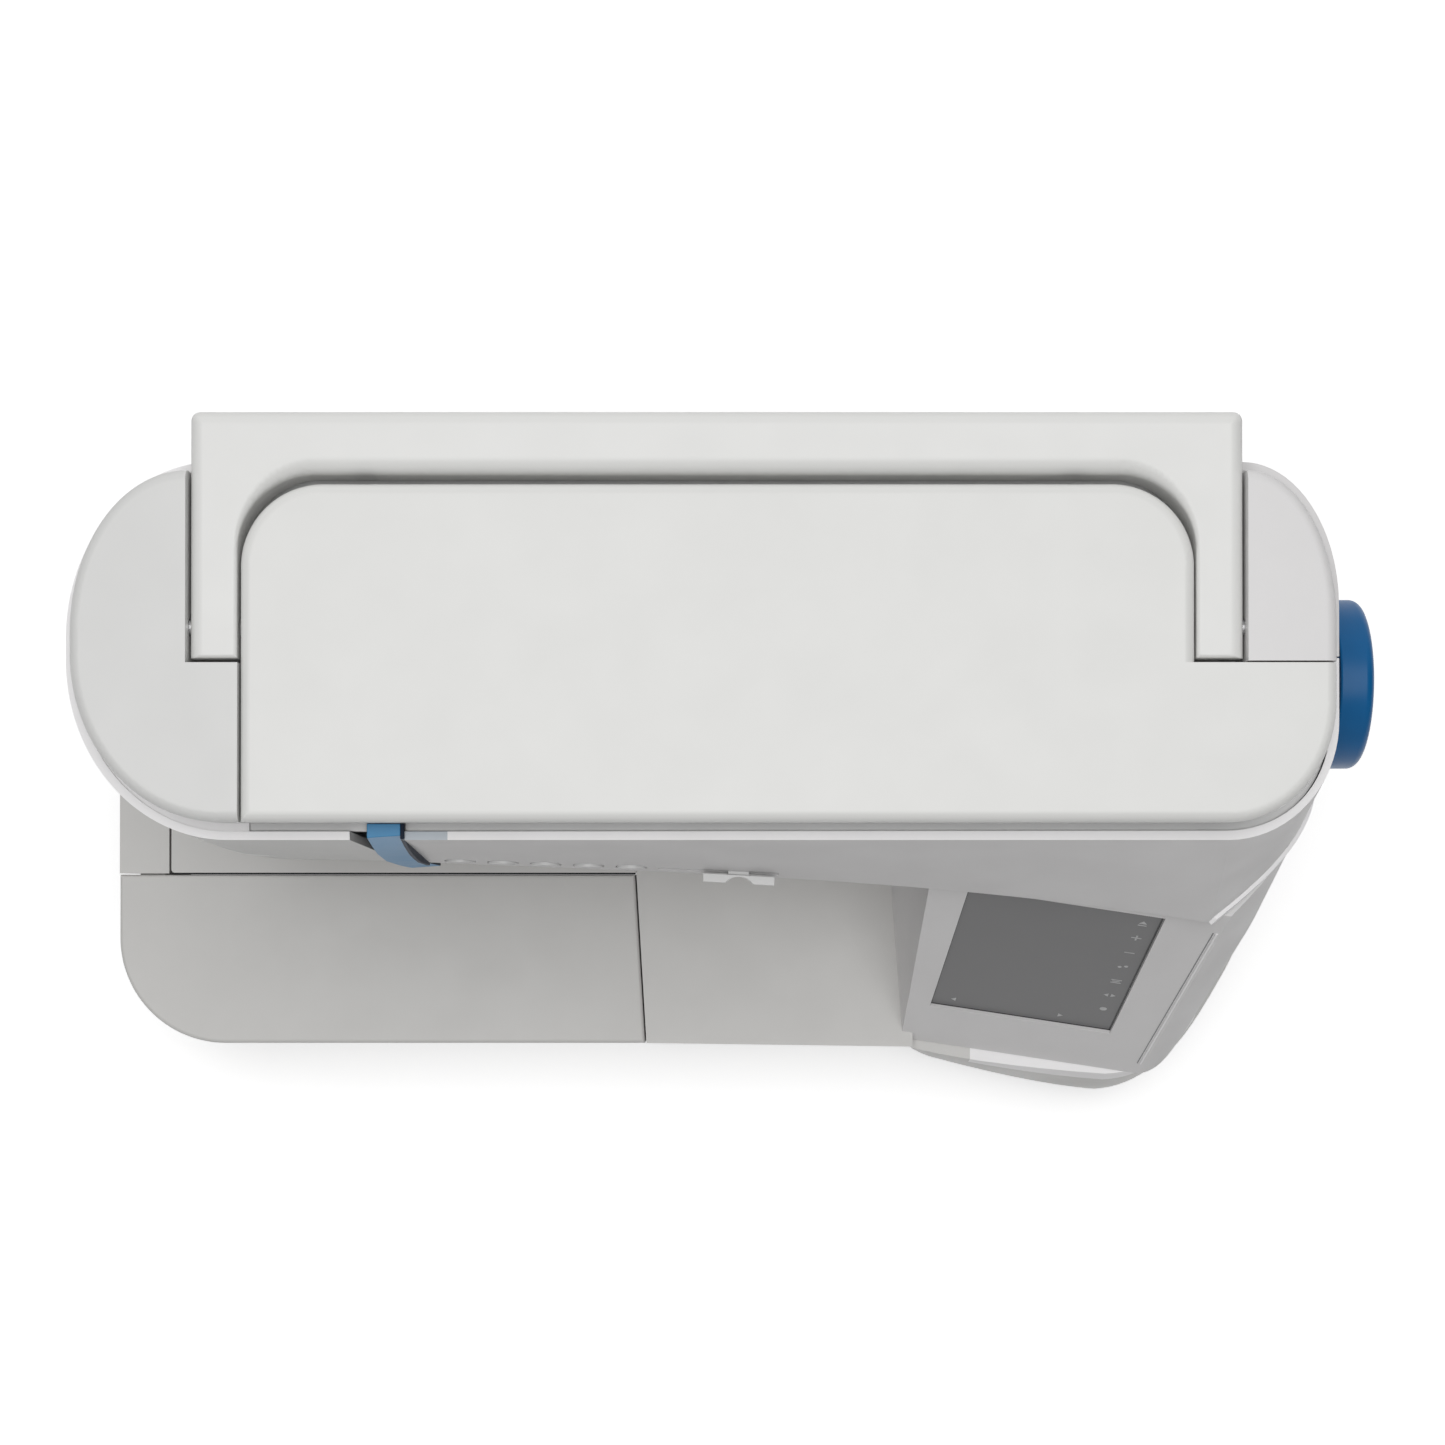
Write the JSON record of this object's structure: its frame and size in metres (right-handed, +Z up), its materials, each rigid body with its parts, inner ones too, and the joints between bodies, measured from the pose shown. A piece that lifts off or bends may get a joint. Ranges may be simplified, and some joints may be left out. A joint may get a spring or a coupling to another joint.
{
  "type": "sewing machine",
  "caption": "Free-arm household sewing machine with folding handle, hinged top lid, blue handwheel, touch screen column and slide-off extension table.",
  "frame": {"origin": "on the table under the middle of the machine's bounding box", "axes": "+X towards the handwheel, +Y to the rear, -Y towards the operator, +Z up"},
  "size_m": [0.49, 0.253, 0.3],
  "materials": {
    "cover_white": "smooth satin white moulding",
    "shell_white": "fine-grained white moulding",
    "bed_white": "satin white moulding",
    "handle_white": "smooth satin white moulding",
    "wheel_blue": "deep blue satin plastic",
    "ribbon_blue": "light blue satin plastic",
    "control_white": "smooth white plastic",
    "control_grey": "grey plastic",
    "black_plastic": "black plastic",
    "foot_rubber": "black rubber",
    "belt_rubber": "toothed belt rubber",
    "screen_glass": "dark touch panel glass",
    "clear_plastic": "clear polycarbonate",
    "bright_steel": "polished plated steel",
    "ground_steel": "ground steel",
    "cast_alloy": "as-cast alloy",
    "board_green": "circuit board laminate",
    "lamp_diffuser": "translucent diffuser",
    "inner_grey": "grey inner moulding"
  },
  "bodies": {
    "root": {"base_cover": "bed_white", "bobbin_case": "black_plastic", "bottom_plate": "inner_grey", "chassis_frame": "cast_alloy", "circuit_boards": "board_green", "display_module": "board_green", "drive_belt": "belt_rubber", "face_cover": "cover_white", "foot_control_jack": "black_plastic", "free_arm_cover": "bed_white", "front_cover": "shell_white", "hinge_pins": "bright_steel", "lamp_lens": "lamp_diffuser", "lever_pins": "bright_steel", "machine_screws": "bright_steel", "main_motor": "ground_steel", "needle_plate": "ground_steel", "power_inlet": "black_plastic", "power_supply": "inner_grey", "rear_cover": "shell_white", "ribbon_trim": "ribbon_blue", "rubber_feet": "foot_rubber", "screen_glass": "screen_glass", "shaft_bushes": "ground_steel", "spool_pin": "control_grey", "tension_unit": "ground_steel", "thread_guide": "control_grey", "timing_belt": "belt_rubber", "top_deck": "control_white"},
    "handle": {"carry_handle": "handle_white"},
    "lid": {"top_lid": "cover_white"},
    "main_shaft": {"main_shaft": "ground_steel", "handwheel": "wheel_blue"},
    "motor_rotor": {"motor_pulley": "ground_steel"},
    "lower_shaft": {"lower_shaft": "ground_steel"},
    "hook": {"rotary_hook": "ground_steel"},
    "bobbin": {"bobbin": "clear_plastic"},
    "needle_bar": {"needle_bar": "bright_steel", "needle": "bright_steel"},
    "take_up": {"take_up_lever": "bright_steel"},
    "presser_bar": {"presser_bar": "bright_steel"},
    "presser_foot": {"presser_foot": "bright_steel"},
    "lifter": {"lifter_lever": "control_grey"},
    "threader": {"needle_threader": "control_grey"},
    "start_stop": {"start_stop_button": "control_white"},
    "reverse": {"reverse_button": "control_white"},
    "lock": {"lock_button": "control_white"},
    "needle_up_down": {"needle_button": "control_white"},
    "thread_cutter": {"cutter_button": "control_white"},
    "slider": {"speed_slider": "control_white"},
    "switch": {"power_switch": "black_plastic"},
    "table": {"extension_table": "bed_white", "accessory_tray": "inner_grey"},
    "table_lid": {"accessory_lid": "bed_white"},
    "hook_cover": {"bobbin_cover": "clear_plastic"},
    "latch": {"cover_latch": "control_grey"},
    "winder": {"winder_spindle": "bright_steel"},
    "feed": {"feed_dog": "ground_steel"},
    "drop_feed": {"drop_feed_lever": "control_grey"}
  },
  "joints": [
    {"name": "handle_fold", "type": "hinge", "parent": "root", "child": "handle", "pos_m": [0.01, 0.053, 0.2915], "axis": [1, 0, 0], "range_deg": [0, 90]},
    {"name": "lid_open", "type": "hinge", "parent": "root", "child": "lid", "pos_m": [0.01, 0.095, 0.2945], "axis": [1, 0, 0], "range_deg": [-85, 0]},
    {"name": "handwheel_turn", "type": "hinge", "parent": "root", "child": "main_shaft", "pos_m": [0.2, 0.0385, 0.225], "axis": [1, 0, 0], "continuous": true},
    {"name": "motor_turn", "type": "hinge", "parent": "root", "child": "motor_rotor", "pos_m": [0.211, 0.0775, 0.11], "axis": [1, 0, 0], "continuous": true},
    {"name": "lower_shaft_turn", "type": "hinge", "parent": "root", "child": "lower_shaft", "pos_m": [0, 0.0385, 0.038], "axis": [1, 0, 0], "continuous": true},
    {"name": "hook_turn", "type": "hinge", "parent": "root", "child": "hook", "pos_m": [-0.12, 0.0202, 0.04], "axis": [0, 0, 1], "continuous": true},
    {"name": "bobbin_turn", "type": "hinge", "parent": "root", "child": "bobbin", "pos_m": [-0.12, 0.0202, 0.06], "axis": [0, 0, 1], "continuous": true},
    {"name": "needle_stroke", "type": "slide", "parent": "root", "child": "needle_bar", "axis": [0, 0, 1], "range_m": [-0.032, 0]},
    {"name": "take_up_swing", "type": "hinge", "parent": "root", "child": "take_up", "pos_m": [-0.1142, 0.016, 0.239], "axis": [1, 0, 0], "range_deg": [0, 50.5]},
    {"name": "presser_lift", "type": "slide", "parent": "root", "child": "presser_bar", "axis": [0, 0, 1], "range_m": [-0.008, 0]},
    {"name": "lifter_swing", "type": "hinge", "parent": "root", "child": "lifter", "pos_m": [-0.104, 0.0953, 0.178], "axis": [0, 1, 0], "range_deg": [0, 50.5]},
    {"name": "foot_tilt", "type": "hinge", "parent": "presser_bar", "child": "presser_foot", "pos_m": [-0.12, 0.049, 0.096], "axis": [1, 0, 0], "range_deg": [-4, 0]},
    {"name": "threader_drop", "type": "slide", "parent": "root", "child": "threader", "axis": [0, 0, 1], "range_m": [-0.024, 0], "stiffness_N_per_m": 80, "springref_m": 0.01},
    {"name": "start_stop_press", "type": "slide", "parent": "root", "child": "start_stop", "axis": [0, 1, 0], "range_m": [0, 0.0015], "stiffness_N_per_m": 300, "springref_m": -0.002},
    {"name": "reverse_press", "type": "slide", "parent": "root", "child": "reverse", "axis": [0, 1, 0], "range_m": [0, 0.0015], "stiffness_N_per_m": 300, "springref_m": -0.002},
    {"name": "lock_press", "type": "slide", "parent": "root", "child": "lock", "axis": [0, 1, 0], "range_m": [0, 0.0015], "stiffness_N_per_m": 300, "springref_m": -0.002},
    {"name": "needle_up_down_press", "type": "slide", "parent": "root", "child": "needle_up_down", "axis": [0, 1, 0], "range_m": [0, 0.0015], "stiffness_N_per_m": 300, "springref_m": -0.002},
    {"name": "thread_cutter_press", "type": "slide", "parent": "root", "child": "thread_cutter", "axis": [0, 1, 0], "range_m": [0, 0.0015], "stiffness_N_per_m": 300, "springref_m": -0.002},
    {"name": "speed_slide", "type": "slide", "parent": "root", "child": "slider", "axis": [1, 0, 0], "range_m": [-0.015, 0.0005]},
    {"name": "power_rock", "type": "hinge", "parent": "root", "child": "switch", "pos_m": [0.237, 0.03, 0.035], "axis": [0, 1, 0], "range_deg": [-8, 8]},
    {"name": "table_slide", "type": "slide", "parent": "root", "child": "table", "axis": [-1, 0, 0], "range_m": [0, 0.215]},
    {"name": "table_lid_open", "type": "hinge", "parent": "table", "child": "table_lid", "pos_m": [-0.13, -0.1008, 0.0135], "axis": [1, 0, 0], "range_deg": [0, 80]},
    {"name": "hook_cover_lift", "type": "slide", "parent": "root", "child": "hook_cover", "axis": [0, 0, 1], "range_m": [0, 0.007]},
    {"name": "latch_slide", "type": "slide", "parent": "root", "child": "latch", "axis": [1, 0, 0], "range_m": [0, 0.002], "stiffness_N_per_m": 200, "springref_m": -0.002},
    {"name": "winder_turn", "type": "hinge", "parent": "root", "child": "winder", "pos_m": [0.132, 0.066, 0.285], "axis": [0, 0, 1], "continuous": true},
    {"name": "feed_travel", "type": "slide", "parent": "root", "child": "feed", "axis": [0, 1, 0], "range_m": [-0.0025, 0.002]},
    {"name": "drop_feed_slide", "type": "slide", "parent": "root", "child": "drop_feed", "axis": [1, 0, 0], "range_m": [0, 0.012]}
  ],
  "couplings": [
    {"joint": "motor_turn", "follows": "handwheel_turn", "ratio": 3},
    {"joint": "lower_shaft_turn", "follows": "handwheel_turn", "ratio": 1},
    {"joint": "hook_turn", "follows": "handwheel_turn", "ratio": 2},
    {"joint": "take_up_swing", "follows": "needle_stroke", "rad_per_m": -27.27},
    {"joint": "lifter_swing", "follows": "presser_lift", "rad_per_m": -109.08}
  ]
}
